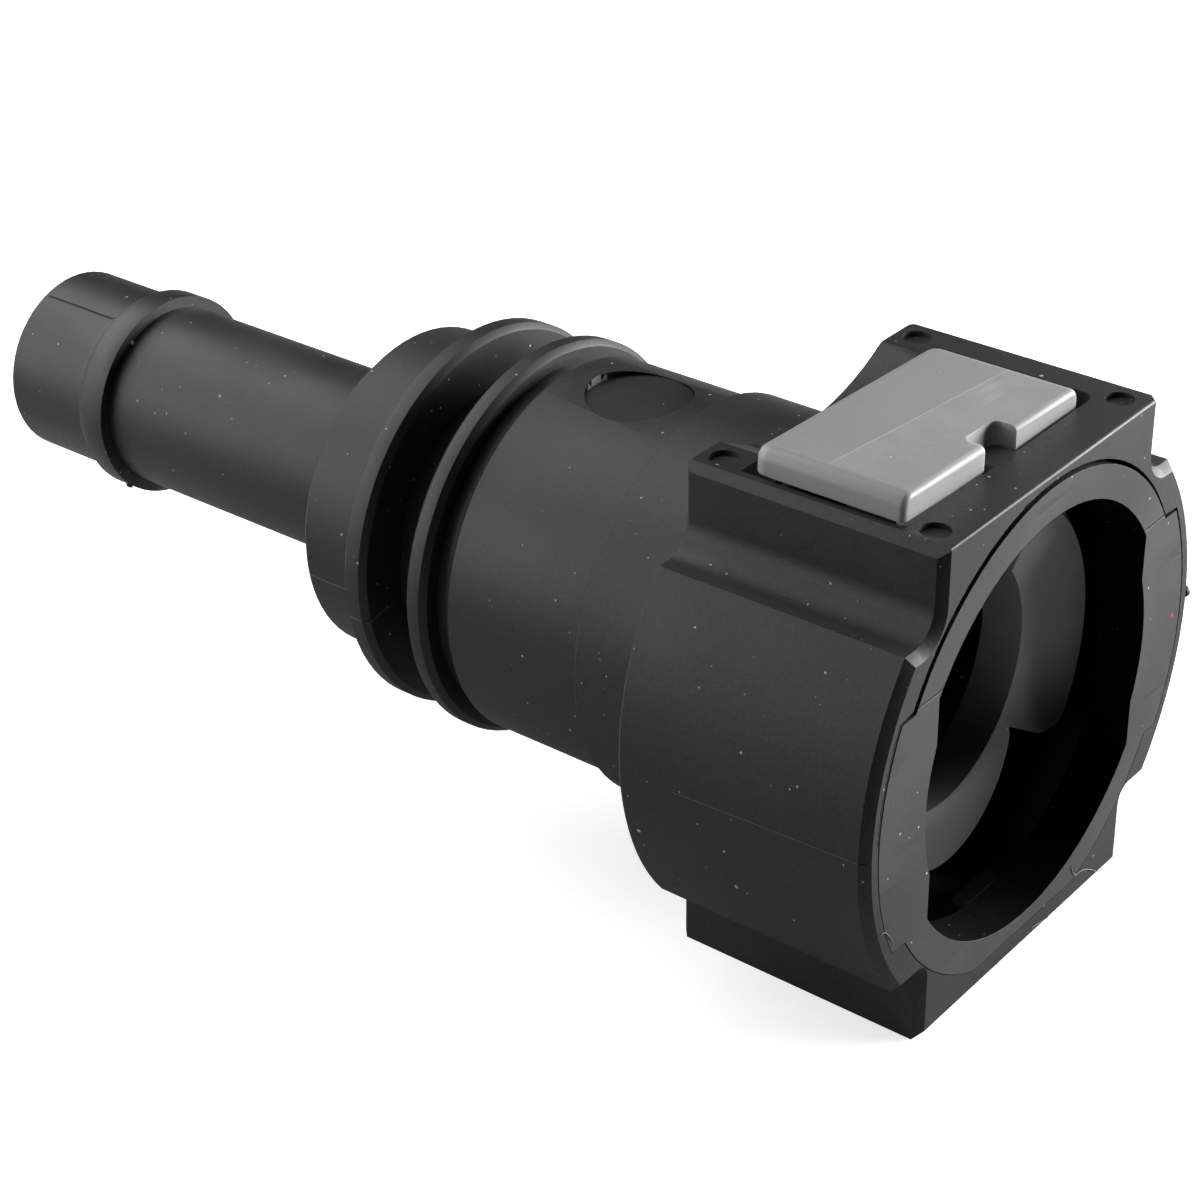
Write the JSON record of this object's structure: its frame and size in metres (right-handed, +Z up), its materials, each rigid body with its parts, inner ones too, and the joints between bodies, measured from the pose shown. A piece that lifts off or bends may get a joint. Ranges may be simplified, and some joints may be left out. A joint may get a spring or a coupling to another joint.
{
  "type": "plastic quick disconnect coupling",
  "caption": "Push-to-release tube connector with a square mouth housing, a spring latch button, a collared barrel and a hose tail.",
  "frame": {"origin": "centre of the guide bore where the bush starts to hold the spigot, at the back of the latch chamber", "axes": "+X along the tube axis out of the mouth, +Z up towards the push button, +Y completes the right hand"},
  "size_m": [0.0421, 0.0186, 0.0178],
  "materials": {
    "housing": "moulded black, satin",
    "latch": "moulded grey, satin",
    "inner_plastic": "moulded dark grey",
    "seal": "smooth black"
  },
  "bodies": {
    "housing": {"body": "housing", "mouth_ring": "housing", "guide_bush": "inner_plastic", "front_o_ring": "seal", "spacer_ring": "inner_plastic", "rear_o_ring": "seal"},
    "button": {"latch": "latch"}
  },
  "joints": [
    {"name": "latch_press", "type": "slide", "parent": "housing", "child": "button", "axis": [0, 0, -1], "range_m": [0, 0.0012], "stiffness_N_per_m": 400}
  ]
}
